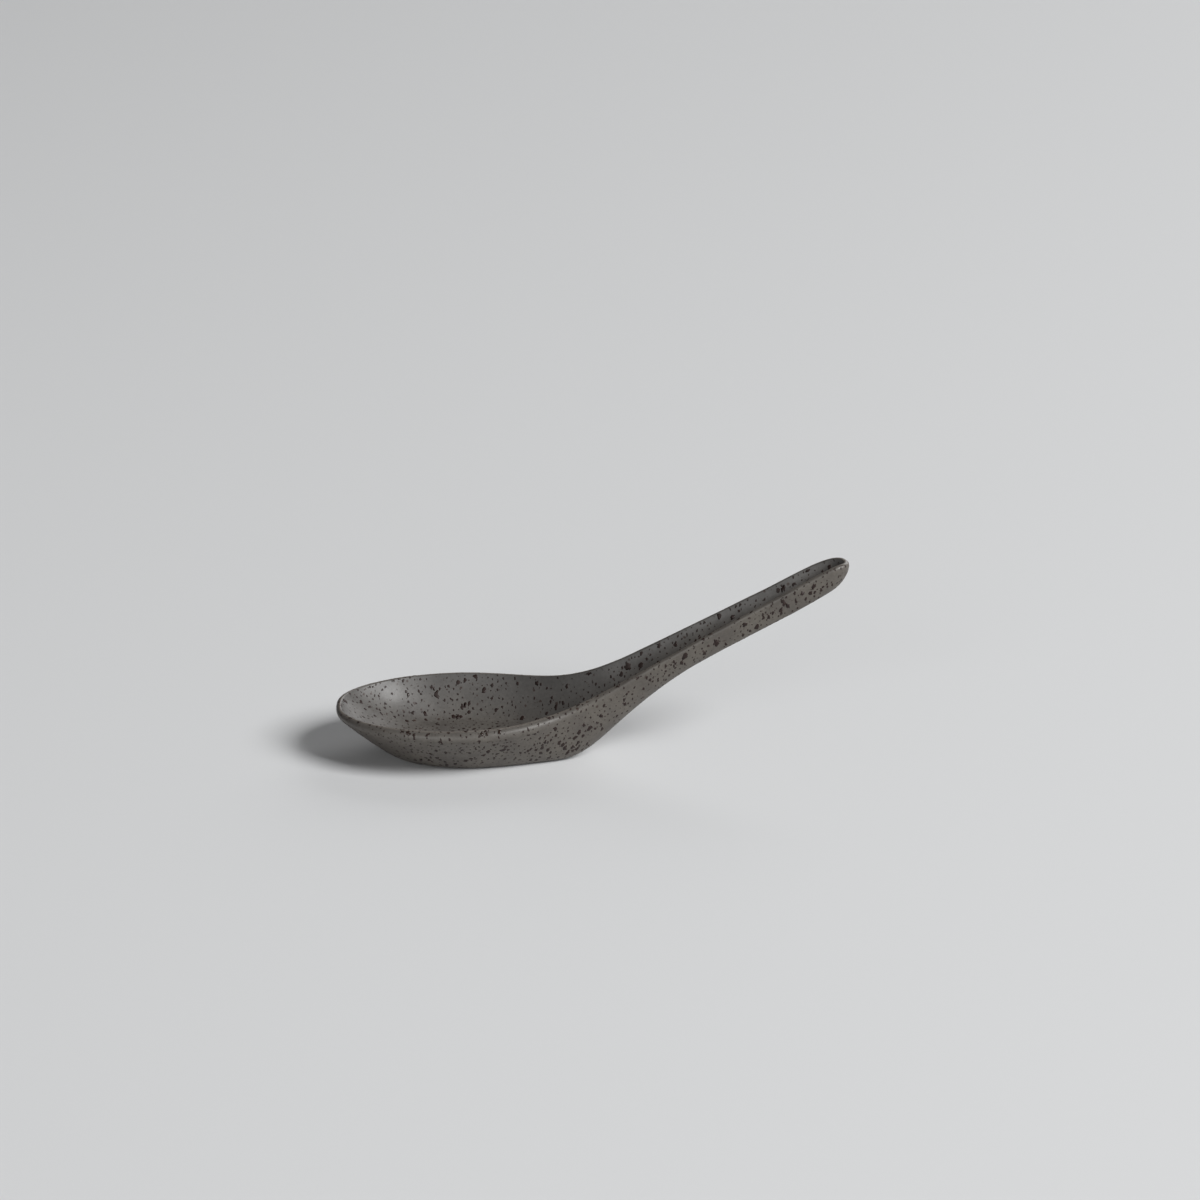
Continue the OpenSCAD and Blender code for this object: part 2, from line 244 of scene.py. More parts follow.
def edge_station(k):
    if k <= HEEL:
        x, y = BASE_EDGE[k]
        return Vector((BASE_X + x * BASE_L, y * BASE_W / 2, FOOT_PROUD))
    depth, y, back = KEEL_EDGE[k - HEEL - 1]
    return below_rim(k, depth * HANDLE_D, y * KEEL_W / 2, back * RAMP_L)


def floor_station(k):
    if k <= HEEL:
        x, y, z = BOWL_FLOOR[k]
        return Vector((BASE_X + x * BASE_L, y * BASE_W / 2, FOOT_PROUD + z * FLOOR_T))
    depth, y, back = CHANNEL_FLOOR[k - HEEL - 1]
    return below_rim(k, depth * CHANNEL_D, y * CHANNEL_W / 2, back * RAMP_L)


edge_points = [edge_station(k) for k in range(LAST + 1)]
floor_points = [floor_station(k) for k in range(LAST + 1)]
print("lean of the handle:", round(math.degrees(leans[LAST - 2])), "degrees")

# %% [markdown]
# ## The foot
# The foot is the flat on which the spoon stands, and its middle is the frame's origin. Its two ends lie
# where the smooth edge of the underside, which only passes near the stations, passes two of them.

# %% Place of the foot
def knot(values, k):
    """Where a uniform cubic B-spline passes station k."""
    return (values[k - 1] + 4 * values[k] + values[k + 1]) / 6


foot_ends = [knot(edge_points, k).x for k in (1, HEEL - 1)]
foot_middle = sum(foot_ends) / 2
FOOT_HALF_L = foot_ends[1] - foot_middle
FOOT_HALF_W = BASE_W / 2 - GLAZE_BACK

# %% [markdown]
# ## The ring
# The stations go into the nodes as a ring of points that carry all this as attributes. The ring is only
# a control cage: the splines that run round the spoon pass smoothly beside its points.

# %% The ring of stations
order = list(range(LAST + 1)) + list(range(LAST - 1, 0, -1))
side = [1] * (LAST + 1) + [-1] * (LAST - 1)
shift = Vector((foot_middle, 0, 0))


def mirrored(points):
    return [(points[k] - shift) * Vector((1, s, 1)) for k, s in zip(order, side)]


vectors = {
    "edge": mirrored(edge_points), "floor": mirrored(floor_points),
    "up": [Vector((-math.sin(leans[k]), 0, math.cos(leans[k]))) for k in order],
}
stations = bpy.data.meshes.new("stations")
stations.from_pydata(mirrored(rim_points), [(i, (i + 1) % len(order)) for i in range(len(order))], [])
for name, values in vectors.items():
    attribute = stations.attributes.new(name, "FLOAT_VECTOR", "POINT")
    attribute.data.foreach_set("vector", [c for v in values for c in v])
for name, shares in SWELL.items():
    attribute = stations.attributes.new(name, "FLOAT", "POINT")
    attribute.data.foreach_set("value", [shares[k] for k in order])
STATION_FIELDS = dict.fromkeys(vectors, "FLOAT_VECTOR") | dict.fromkeys(SWELL, "FLOAT")
print("ring:", len(stations.vertices), "points with", sorted(STATION_FIELDS))

# %% [markdown]
# ## A wall between two splines
# Each wall of the spoon starts level at its foot and arrives at its top in the direction of the rim, so
# that it runs smoothly into the floor below and into the rim above. A cubic Bezier curve does just that,
# with one handle level and one along the rim's side. Mixing neighbouring points three times over gives the
# curve's point without any powers. Both walls use the curve, so it is a small node group.

# %% Wall curve
wall, given = new_tree(
    "wall_curve",
    [("Foot", "Vector"), ("Top", "Vector"), ("Up", "Vector"), ("Direction", "Vector"),
     ("Low", "Float", 0.4), ("High", "Float", 0.4), ("Share", "Float", 0.5)],
    [("Point", "Vector")],
)
across = add(wall, "VectorMath SUBTRACT", given["Top"], given["Foot"])
height = add(wall, "VectorMath DOT_PRODUCT", across, given["Up"])
rise = add(wall, "VectorMath SCALE", given["Up"], height)
level = add(wall, "VectorMath SUBTRACT", across, rise)
low_handle = add(wall, "VectorMath MULTIPLY_ADD", level, given["Low"], given["Foot"])
high_reach = add(wall, "Math MULTIPLY", height, given["High"])
high_part = add(wall, "VectorMath SCALE", given["Direction"], high_reach)
high_handle = add(wall, "VectorMath SUBTRACT", given["Top"], high_part)
curve = [given["Foot"], low_handle, high_handle, given["Top"]]
while len(curve) > 1:
    curve = [
        add(wall, "Mix", given["Share"], a, b, data_type="VECTOR")
        for a, b in zip(curve, curve[1:])
    ]
add(wall, "NodeGroupOutput", curve[0])
print("wall curve:", len(wall.nodes), "nodes")

# %% [markdown]
# ## The form of the spoon
# Turning the ring of stations into a NURBS curve makes it a smooth spline, and every attribute of the
# stations is smoothed along with it. The curve's points become the columns of flat grids. Each grid is
# then bent into one band of the surface: underside, outer wall, rim, inner wall and floor, which all use
# the same columns and so meet edge to edge.

# %% Form: columns and rows
form, given = new_tree(
    "spoon_form",
    [("Stations", "Geometry"), ("Steps", "Int", 16), ("Rows", "Int", 12),
     ("Nip", "Float", 0.55 * MM), ("Crown", "Float", CROWN_D), ("Dish", "Float", DISH_D),
     ("Glaze", "Float", GLAZE_T), ("Foot proud", "Float", FOOT_PROUD),
     ("Foot half length", "Float", FOOT_HALF_L), ("Foot half width", "Float", FOOT_HALF_W),
     ("Bare margin", "Float", 0.2 * MM), ("Foot edge", "Float", 0.3 * MM)],
    [("Skin", "Geometry"), ("Lip", "Geometry"), ("Bed", "Geometry"), ("Foot", "Geometry")],
)
cage = add(form, "MeshToCurve", given["Stations"])
spline = add(form, "CurveSplineType", cage, spline_type="NURBS")
spline = add(form, "SetSplineResolution", spline, None, given["Steps"])
points = add(form, "CurveToPoints", spline, mode="EVALUATED")
tangent = points.node.outputs["Tangent"]
columns = add(form, "AttributeDomainSize", points, component="POINTCLOUD")
grid_x = add(form, "IntegerMath ADD", columns, 1)
grid_y = add(form, "IntegerMath ADD", given["Rows"], 1)
grid = add(form, "MeshGrid", None, None, grid_x, grid_y)
grid = add(form, "FlipFaces", grid)

index = add(form, "InputIndex")
column = add(form, "IntegerMath DIVIDE_FLOOR", index, grid_y)
column = add(form, "IntegerMath MODULO", column, columns)
row = add(form, "IntegerMath MODULO", index, grid_y)
share = add(form, "Math DIVIDE", row, given["Rows"])
share_down = add(form, "Math SUBTRACT", 1, share)
print("form: columns and rows,", len(form.nodes), "nodes")

# %% [markdown]
# A point of a grid knows its row and its column. Sampling the curve at the column gives it all that the
# stations say there, already smoothed. Across the spoon, "out" is square to the rim and to the section's
# upright.

# %% Form: what the stations say at each column
at = {
    label: add(form, "SampleIndex", points, value, column, data_type="FLOAT_VECTOR")
    for label, value in (("rim", add(form, "InputPosition")), ("tangent", tangent))
}
for label, kind in STATION_FIELDS.items():
    value = add(form, "InputNamedAttribute", label, data_type=kind)
    at[label] = add(form, "SampleIndex", points, value, column, data_type=kind)

up = add(form, "VectorMath NORMALIZE", at["up"])
out = add(form, "VectorMath CROSS_PRODUCT", up, at["tangent"])
out = add(form, "VectorMath NORMALIZE", out)
edge_x, edge_y, edge_z = add(form, "SeparateXYZ", at["edge"]).node.outputs
floor_x, floor_y, floor_z = add(form, "SeparateXYZ", at["floor"]).node.outputs
print("form: sampled", sorted(at))

# %% [markdown]
# The light on the near side of the rim is a broad soft band, so its outside rolls over with a radius of up
# to two millimetres. Its inner edge is crisp, so there the radius is smaller. The band takes one radius up
# to the crest and the other past it, and it begins and ends in the directions of the flaring walls.

# %% Form: rim
INSIDE_FLARE = 0.8


def add_rim(angle, radius):
    """A point of the rim, at an angle from level outside over the crest, and the wall's direction there."""
    sine = add(form, "Math SINE", angle)
    cosine = add(form, "Math COSINE", angle)
    drop = add(form, "Math SUBTRACT", sine, 1)
    drop = add(form, "Math MULTIPLY", drop, radius)
    away = add(form, "Math MULTIPLY", cosine, radius)
    point = add(form, "VectorMath MULTIPLY_ADD", up, drop, crest)
    point = add(form, "VectorMath MULTIPLY_ADD", out, away, point)
    rising = add(form, "VectorMath SCALE", up, cosine)
    outward = add(form, "VectorMath SCALE", out, sine)
    direction = add(form, "VectorMath SUBTRACT", rising, outward)
    return {"point": point, "direction": direction, "height": sine}


roll = add(form, "VectorMath SCALE", out, at["roll"])
crest = add(form, "VectorMath SUBTRACT", at["rim"], roll)
outer_angle = add(form, "Math SUBTRACT", 0, at["flare"])
inner_angle = add(form, "Math MULTIPLY_ADD", outer_angle, INSIDE_FLARE, math.pi)
angle = add(form, "Mix", share, outer_angle, inner_angle)
inside = add(form, "Math GREATER_THAN", angle, math.pi / 2)
radius = add(form, "Mix", inside, at["roll"], given["Nip"])
rim = add_rim(angle, radius)
outer_top = add_rim(outer_angle, at["roll"])
inner_top = add_rim(inner_angle, given["Nip"])
print("form: rim, crest and nip")

# %% [markdown]
# The two walls are the Bezier group twice over, from the edge of the underside and from the edge of the
# floor up to the two ends of the rim.

# %% Form: walls
inner_rising = add(form, "VectorMath SCALE", inner_top["direction"], -1)
outer_point = add(form, "Group", at["edge"], outer_top["point"], up, outer_top["direction"],
                  at["outer_low"], at["outer_high"], share, node_tree=wall)
inner_point = add(form, "Group", at["floor"], inner_top["point"], up, inner_rising,
                  at["inner_low"], at["inner_high"], share_down, node_tree=wall)
print("form: two walls,", len(form.nodes), "nodes")

# %% [markdown]
# The bare foot is a rounded oblong, a little squarer than an ellipse. A superellipse gives its half width
# at each column, and it is nothing past the foot's ends.

# %% Form: half width of the foot at each column
SQUARENESS = 2.4
length_share = add(form, "Math DIVIDE", edge_x, given["Foot half length"])
length_share = add(form, "Math ABSOLUTE", length_share)
drawn_in = add(form, "Math POWER", length_share, SQUARENESS)
room = add(form, "Math SUBTRACT", 1, drawn_in)
room = add(form, "Math MAXIMUM", room, 0)
room = add(form, "Math SQRT", room)
foot_y = add(form, "Math MULTIPLY", room, given["Foot half width"])
side = add(form, "Math SIGN", edge_y)
foot_y = add(form, "Math MULTIPLY", foot_y, side)
print("form: foot", round(2 * FOOT_HALF_W / MM, 1), "mm wide")

# %% [markdown]
# The underside and the floor run from the middle line out to their edges. Neither is quite flat: the
# handle's back is a little crowned and the floor a little dished, which keeps the light on them alive.

# %% Form: underside and floor
def add_face(x, y_middle, y_edge, z, bulge, share_out):
    """A face from its middle line to its edge, bulging down by bulge in the middle."""
    y = add(form, "Mix", share_out, y_middle, y_edge)
    flat = add(form, "CombineXYZ", x, y, z)
    fall = add(form, "Math MULTIPLY", share_out, share_out)
    fall = add(form, "Math SUBTRACT", 1, fall)
    fall = add(form, "Math MULTIPLY", fall, fall)
    fall = add(form, "Math MULTIPLY", fall, bulge)
    down = add(form, "VectorMath SCALE", up, fall)
    return add(form, "VectorMath SUBTRACT", flat, down)


crown = add(form, "Math MULTIPLY", at["crown"], given["Crown"])
dish = add(form, "Math MULTIPLY", at["dish"], given["Dish"])
under_point = add_face(edge_x, foot_y, edge_y, edge_z, crown, share)
floor_point = add_face(floor_x, 0, floor_y, floor_z, dish, share_down)
print("form: underside and floor")

# %% [markdown]
# Round the foot the glaze ends in a quarter-round lip on the clay, the bed on which it ends is level, and
# the clay goes on inwards as a shoulder, a rounded side and the flat sole. Each of these five bands is the
# outline of the foot, drawn in by an inset at some height.

# %% Form: bands round the foot
outline = add(form, "CombineXYZ", edge_x, foot_y, 0)
reach = add(form, "VectorMath LENGTH", outline)
glaze_level = add(form, "Math ADD", given["Foot proud"], given["Glaze"])
foot_line = add(form, "Math ADD", given["Glaze"], given["Bare margin"])
quarter = add(form, "Math MULTIPLY", share, math.pi / 2)
sine = add(form, "Math SINE", quarter)
cosine = add(form, "Math COSINE", quarter)


def add_foot_point(inset, height, width):
    """The foot's outline, drawn in by inset, lifted to a height and squeezed to a share of its width."""
    k = add(form, "Math DIVIDE", inset, reach)
    k = add(form, "Math SUBTRACT", 1, k)
    drawn = add(form, "VectorMath SCALE", outline, k)
    scale = add(form, "CombineXYZ", 1, width, 1)
    lift = add(form, "CombineXYZ", 0, 0, height)
    return add(form, "VectorMath MULTIPLY_ADD", drawn, scale, lift)


lip_inset = add(form, "Math MULTIPLY", given["Glaze"], cosine)
lip_drop = add(form, "Math MULTIPLY", given["Glaze"], sine)
lip_height = add(form, "Math SUBTRACT", glaze_level, lip_drop)
bed_inset = add(form, "Math MULTIPLY", given["Glaze"], share_down)
shoulder_inset = add(form, "Math MULTIPLY", foot_line, share_down)
side_round = add(form, "Math SUBTRACT", 1, sine)
side_inset = add(form, "Math MULTIPLY_ADD", side_round, given["Foot edge"], foot_line)
side_height = add(form, "Math SUBTRACT", 1, cosine)
side_height = add(form, "Math MULTIPLY", side_height, glaze_level)
sole_inset = add(form, "Math ADD", foot_line, given["Foot edge"])
foot_points = {
    "lip": add_foot_point(lip_inset, lip_height, 1),
    "bed": add_foot_point(bed_inset, glaze_level, 1),
    "shoulder": add_foot_point(shoulder_inset, glaze_level, 1),
    "side": add_foot_point(side_inset, side_height, 1),
    "sole": add_foot_point(sole_inset, 0, share),
}
print("form: bands round the foot:", sorted(foot_points))

# %% [markdown]
# Now each grid is bent to its field of points, and the bands are merged where they meet. Two attributes
# go with them for the glaze's colour: how thin it runs over the rim, which also sets a painted highlight
# on the crest, and how much painted cool reflection the inner walls and floor get. The bands of the foot
# are kept only where there is a foot.

# %% Form: bend the grids and join them
JOIN = 0.001 * MM
# The share of the painted cool reflection that the floor gets; the inner wall gets it in full.
PAINTED_COOL_REFLECTION_ON_FLOOR = 0.4


def add_band(point, thin, pooled):
    """The grid bent to a field of points, with how thin the glaze runs there, which also sets a painted
    highlight, and how much painted cool reflection it gets.
    """
    band = add(form, "SetPosition", grid, None, point)
    band = add(form, "StoreNamedAttribute", band, None, "thin", thin)
    return add(form, "StoreNamedAttribute", band, None, "pooled", pooled)


def add_joined(tree, parts):
    joined = add(tree, "JoinGeometry", parts)
    return add(tree, "MergeByDistance", joined, None, JOIN)


# Painted cool reflection: full at the top of the inner wall, less down towards the floor.
wall_painted_cool_reflection = add(form, "Mix", share, 1, PAINTED_COOL_REFLECTION_ON_FLOOR)
skin = add_joined(form, [
    add_band(under_point, 0, 0), add_band(outer_point, 0, 0), add_band(rim["point"], rim["height"], share),
    add_band(inner_point, 0, wall_painted_cool_reflection), add_band(floor_point, 0, PAINTED_COOL_REFLECTION_ON_FLOOR),
])
past_foot = add(form, "Math ABSOLUTE", edge_x)
last_x = add(form, "Math ADD", given["Foot half length"], JOIN)
past_foot = add(form, "Math GREATER_THAN", past_foot, last_x)
foot_bands = {
    name: add(form, "DeleteGeometry", add_band(point, 0, 0), past_foot)
    for name, point in foot_points.items()
}
foot = add_joined(form, [foot_bands["shoulder"], foot_bands["side"], foot_bands["sole"]])
add(form, "NodeGroupOutput", skin, foot_bands["lip"], foot_bands["bed"], foot)
print("form:", len(form.nodes), "nodes")

# %% [markdown]
# ## From trees to meshes
# A modifier runs a tree on a mesh. The exported model can't hold modifiers or instances, so the result
# becomes a plain mesh, and the object that carried the modifier goes away. Two more helpers put the form
# into a tree, and end a tree with smooth shading and its material.

# %% Grow a mesh
def grow(name, tree, mesh, **sizes):
    """Runs a geometry tree on a mesh and returns the result as a plain mesh object."""
    maker = new_object(name + "_maker", mesh)
    modifier = maker.modifiers.new("form", "NODES")
    modifier.node_group = tree
    for item in tree.interface.items_tree:
        label = item.name.lower().replace(" ", "_")
        if item.in_out == "INPUT" and label in sizes:
            modifier[item.identifier] = sizes[label]
    evaluated = maker.evaluated_get(bpy.context.evaluated_depsgraph_get())
    result = bpy.data.meshes.new_from_object(evaluated)
    bpy.data.objects.remove(maker)
    piece = new_object(name, result)
    result.name = name
    result.calc_loop_triangles()
    print(name + ":", len(result.vertices), "vertices,", len(result.loop_triangles), "triangles")
    return piece


def add_form(tree, given):
    """The form group in a tree, with the sizes that the tree passes on to it."""
    asked = {item.name for item in form.interface.items_tree}
    passed = {label: socket for label, socket in given.items() if label in asked}
    return add(tree, "Group", passed, node_tree=form).node.outputs


def finish_tree(tree, piece, material):
    """Ends a tree with smooth shading and a material."""
    piece = add(tree, "SetShadeSmooth", piece)
    piece = add(tree, "SetMaterial", piece, None, material)
    add(tree, "NodeGroupOutput", piece)
    print(tree.name, "tree:", len(tree.nodes), "nodes")


print("helpers: grow, add_form, finish_tree")

# %% [markdown]
# ## The glaze
# Glaze is a skin of glass, and its face follows the form with slow, shallow waves that bend the light along
# the rim. The outer face gets those waves from noise, and the inner face is the same form moved in by the
# thickness of the glaze. The rounded edge round the foot joins the two, so the skin is a closed solid.

# %% Glaze tree
GLAZE_SIZES = [
    ("Stations", "Geometry"), ("Steps", "Int", 16), ("Rows", "Int", 12), ("Glaze", "Float", GLAZE_T),
    ("Wave", "Float", 0.14 * MM), ("Wavelength", "Float", 11 * MM), ("Finish", "Material"),
]
# The waves begin at the level of the flat base and are at their full height 3 mm up, where 2 makes the
# noise's half swing a whole one.
WAVE_RISE = (FOOT_PROUD, 3 * MM, 0, 2)


def add_waves(tree, given, skin):
    """The skin with slow waves in its face, which die away on the flat base."""
    scale = add(tree, "Math DIVIDE", 1, given["Wavelength"])
    noise = add(tree, "TexNoise", {"Scale": scale, "Detail": 2, "Roughness": 0.45})
    wave = add(tree, "Math SUBTRACT", noise, NOISE_MIDDLE)
    wave = add(tree, "Math MULTIPLY", wave, given["Wave"])
    position = add(tree, "SeparateXYZ", add(tree, "InputPosition"))
    off_base = add(tree, "MapRange", position.node.outputs["Z"], *WAVE_RISE, interpolation_type="SMOOTHSTEP")
    wave = add(tree, "Math MULTIPLY", wave, off_base)
    offset = add(tree, "VectorMath SCALE", add(tree, "InputNormal"), wave)
    return add(tree, "SetPosition", skin, None, None, offset)


def add_inner(tree, given, skin):
    """The skin's inner face, one thickness of glaze further in."""
    inward = add(tree, "Math SUBTRACT", 0, given["Glaze"])
    offset = add(tree, "VectorMath SCALE", add(tree, "InputNormal"), inward)
    return add(tree, "SetPosition", skin, None, None, offset)


coat, given = new_tree("glaze", GLAZE_SIZES, [("Glaze", "Geometry")])
made = add_form(coat, given)
face = add_waves(coat, given, made["Skin"])
face = add(coat, "StoreNamedAttribute", face, None, "outside", True, data_type="BOOLEAN", domain="FACE")
inner = add_inner(coat, given, made["Skin"])
inner = add(coat, "JoinGeometry", [inner, made["Bed"]])
inner = add(coat, "FlipFaces", inner)
whole = add_joined(coat, [face, made["Lip"], inner])
finish_tree(coat, whole, given["Finish"])

# %% [markdown]
# ## The clay
# The fired clay only comes to light on the foot. There the glaze was wiped off, so that the spoon wouldn't
# stick to the kiln shelf, and the foot was sponged smooth: a flat sole with a soft edge, a little prouder
# than the glaze round it. The clay is the inner face once more, with the foot's bands let into it.

# %% Clay tree
body, given = new_tree("clay", GLAZE_SIZES, [("Clay", "Geometry")])
made = add_form(body, given)
whole = add_joined(body, [add_inner(body, given, made["Skin"]), made["Foot"]])
finish_tree(body, whole, given["Finish"])

# %% [markdown]
# ## Colours
# Colours are written as sRGB hex codes, as a picker shows them, and the shaders want linear light. One
# function turns one into the other.

# %% Linear colours
def linear(code):
    """An sRGB hex colour as linear red, green, blue and alpha."""
    channels = [int(code[i:i + 2], 16) / 255 for i in (1, 3, 5)]
    return (*(c / 12.92 if c <= 0.04045 else ((c + 0.055) / 1.055) ** 2.4 for c in channels), 1)


print("middle grey in linear light:", round(linear("#808080")[0], 3))

# %% [markdown]
# ## The glaze's colour
# The glaze is rich in iron and was fired in a smoky kiln. To the eye it is a warm brown grey, never quite
# even. Broad clouds, where it lies thicker or thinner, keep a large face from looking painted. Inside the
# bowl a cooler grey is a painted cool reflection. Over the rim's crest the colour is lighter, partly
# because the glaze runs thin there and partly as a painted highlight. A fine grain gives it the dry depth
# of stoneware. The pieces of glaze and of iron share this colour, so it is a group.

# %% Glaze colour
CLOUD = 9 * MM
GRAIN = 0.8 * MM
SOFT_EDGES = (0.35, 0.65, 0, 1)
GRAIN_LEVELS = (0.3, 0.7, 0.84, 1.14)
# How much the rim's crest is lightened: partly thin glaze, partly a painted highlight.
THIN_GLAZE_AND_PAINTED_HIGHLIGHT_ON_CREST = (0.88, 1, 0, 0.45)

tint = bpy.data.node_groups.new("glaze_colour", "ShaderNodeTree")
tint.interface.new_socket("Color", in_out="OUTPUT", socket_type="NodeSocketColor")
place = add(tint, "TexCoord").node.outputs["Object"]
clouds = add(tint, "TexNoise", {"Vector": place, "Scale": 1 / CLOUD, "Detail": 3})
clouds = add(tint, "MapRange", clouds, *SOFT_EDGES)
colour = add(tint, "Mix", clouds, linear("#4D4843"), linear("#5A554E"), data_type="RGBA")
# A cooler grey for the inner walls and floor: a painted cool reflection.
painted_cool_reflection_colour = add(tint, "Mix", clouds, linear("#4C4A48"), linear("#585654"), data_type="RGBA")
pooled = add(tint, "Attribute", attribute_name="pooled").node.outputs["Fac"]
colour = add(tint, "Mix", pooled, colour, painted_cool_reflection_colour, data_type="RGBA")
grain = add(tint, "TexNoise", {"Vector": place, "Scale": 1 / GRAIN, "Detail": 4, "Roughness": 0.65})
grain = add(tint, "MapRange", grain, *GRAIN_LEVELS)
colour = add(tint, "VectorMath SCALE", colour, grain)
# The rim's crest is lightened, partly for the thin glaze and partly as a painted highlight.
thin = add(tint, "Attribute", attribute_name="thin").node.outputs["Fac"]
thin = add(tint, "MapRange", thin, *THIN_GLAZE_AND_PAINTED_HIGHLIGHT_ON_CREST)
colour = add(tint, "Mix", thin, colour, linear("#756C63"), data_type="RGBA")
print("glaze colour:", len(tint.nodes), "nodes before the iron")

# %% [markdown]
# Iron has also bled into the glaze in soft brown dots that have no height. The finest are pinpoints, and
# they fill the gaps between the speckles, so that the eye sees iron of every size. A Voronoi pattern has
# one dot to a cell, and a wobble of the place that it reads makes the dots ragged.

# %% Iron that bled into the glaze
PINPOINTS = dict(cell=0.9 * MM, small=0.12 * MM, large=0.30 * MM, kept=0.6, soft=0.4)
DOTS = dict(cell=2.2 * MM, small=0.25 * MM, large=0.55 * MM, kept=0.5, soft=0.6)
PINPOINT_STRENGTH = 0.7
# Waves of the wobble in a cell, and its size as a share of the cell.
WOBBLES = 3
WOBBLE = 0.35


def add_dots(cell, small, large, kept, soft):
    """A mask of ragged dots, one in some of the cells of a pattern that is cell across."""
    wobble = add(tint, "TexNoise", {"Vector": place, "Scale": WOBBLES / cell, "Detail": 2})
    wobble = add(tint, "VectorMath SUBTRACT", wobble.node.outputs["Color"], (NOISE_MIDDLE,) * 3)
    bent = add(tint, "VectorMath MULTIPLY_ADD", wobble, (WOBBLE * cell,) * 3, place)
    cells = add(tint, "TexVoronoi", {"Vector": bent, "Scale": 1 / cell})
    chance = add(tint, "SeparateColor", cells.node.outputs["Color"])
    radius = add(tint, "MapRange", chance.node.outputs["Green"], 0, 1, small / cell, large / cell)
    edge = add(tint, "Math MULTIPLY", radius, soft)
    mask = add(tint, "MapRange", cells, edge, radius, 1, 0)
    chosen = add(tint, "Math LESS_THAN", chance, kept)
    return add(tint, "Math MULTIPLY", mask, chosen)


pinpoints = add_dots(**PINPOINTS)
pinpoints = add(tint, "Math MULTIPLY", pinpoints, PINPOINT_STRENGTH)
iron = add(tint, "Math MAXIMUM", pinpoints, add_dots(**DOTS))
colour = add(tint, "Mix", iron, colour, linear("#33251F"), data_type="RGBA")
add(tint, "NodeGroupOutput", colour)
print("glaze colour:", len(tint.nodes), "nodes")

# %% [markdown]
# ## Satin glaze
# The gloss of a satin glaze is broad and soft, because fine crystals grew in it as it cooled. It changes
# in patches a few millimetres wide, so the sheen inside the bowl isn't one clean spot, and it is slicker
# on the rim, where it is thin and glassy. A very weak clear coat gives the small bright core of that
# sheen. A faint bump, as of orange peel, breaks up the edges of the reflections.

# %% Satin glaze
PEEL = 0.8 * MM
SATIN_PATCH = 4 * MM
SATIN_LEVELS = (0.3, 0.7, 0.47, 0.57)
SLICK_RIM = (0.3, 0.6, 0, 0.12)


def new_material(name):
    material = bpy.data.materials.new(name)
    material.use_nodes = True
    material.node_tree.nodes.clear()
    return material, material.node_tree


satin_glaze, tree = new_material("satin_iron_glaze")
place = add(tree, "TexCoord").node.outputs["Object"]
peel = add(tree, "TexNoise", {"Vector": place, "Scale": 1 / PEEL, "Detail": 3})
bump = add(tree, "Bump", {"Strength": 0.12, "Distance": 0.05 * MM, "Height": peel})
satin = add(tree, "TexNoise", {"Vector": place, "Scale": 1 / SATIN_PATCH, "Detail": 3})
satin = add(tree, "MapRange", satin, *SATIN_LEVELS)
thin = add(tree, "Attribute", attribute_name="thin").node.outputs["Fac"]
slick = add(tree, "MapRange", thin, *SLICK_RIM)
satin = add(tree, "Math SUBTRACT", satin, slick)
shader = add(tree, "BsdfPrincipled", {
    "Base Color": add(tree, "Group", node_tree=tint), "Roughness": satin, "IOR": 1.5, "Normal": bump,
    "Coat Weight": 0.1, "Coat Roughness": 0.25})
add(tree, "OutputMaterial", shader)
print("material:", satin_glaze.name, len(tree.nodes), "nodes")

# %% [markdown]
# ## Iron spots
# A speckle is iron oxide that melted through the glaze: nearly black, a warm brown where it thins out
# into the glaze round it, which the height of its dome gives here. Most are dull. A few stand up as
# beads, and these are glossy.

# %% Iron spots
DOME_EDGE = (0, 0.25, 0, 1)
BEAD_HEIGHTS = (0.1 * MM, 0.2 * MM, 0, 1)
BEAD_TONE = (0, 1, 1, 0.8)
BEAD_GLOSS = (0, 1, 0.55, 0.12)

iron_spot, tree = new_material("iron_spot")
dome = add(tree, "Attribute", attribute_name="dome").node.outputs["Fac"]
dome = add(tree, "MapRange", dome, *DOME_EDGE)
bead = add(tree, "Attribute", attribute_name="height").node.outputs["Fac"]
bead = add(tree, "MapRange", bead, *BEAD_HEIGHTS)
tone = add(tree, "MapRange", bead, *BEAD_TONE)
dome = add(tree, "Math MULTIPLY", dome, tone)
colour = add(tree, "Mix", dome, add(tree, "Group", node_tree=tint), linear("#1F0E08"), data_type="RGBA")
gloss = add(tree, "MapRange", bead, *BEAD_GLOSS)
shader = add(tree, "BsdfPrincipled", {
    "Base Color": colour, "Roughness": gloss, "IOR": 1.5, "Specular IOR Level": 0.4})
add(tree, "OutputMaterial", shader)
print("material:", iron_spot.name, len(tree.nodes), "nodes")

# %% [markdown]
# ## Bare stoneware
# Where the clay is bare it is buff, dry and matt. Its grit is half a millimetre coarse, and it shows both
# as a mottle of two tones and as a rough touch in raking light.

# %% Bare stoneware
GRIT = 0.5 * MM

bare_stoneware, tree = new_material("bare_stoneware")
place = add(tree, "TexCoord").node.outputs["Object"]
grit = add(tree, "TexNoise", {"Vector": place, "Scale": 1 / GRIT, "Detail": 4})
tone = add(tree, "MapRange", grit, *SOFT_EDGES)
tone = add(tree, "Mix", tone, linear("#8F7B66"), linear("#A8947B"), data_type="RGBA")
bump = add(tree, "Bump", {"Strength": 0.5, "Distance": 0.1 * MM, "Height": grit})
shader = add(tree, "BsdfPrincipled", {"Base Color": tone, "Roughness": 0.88, "IOR": 1.5, "Normal": bump})
add(tree, "OutputMaterial", shader)
print("material:", bare_stoneware.name, len(tree.nodes), "nodes")

# %% [markdown]
# ## Glaze and clay, grown
# Both trees now run on the same ring of stations, each with its own finish.

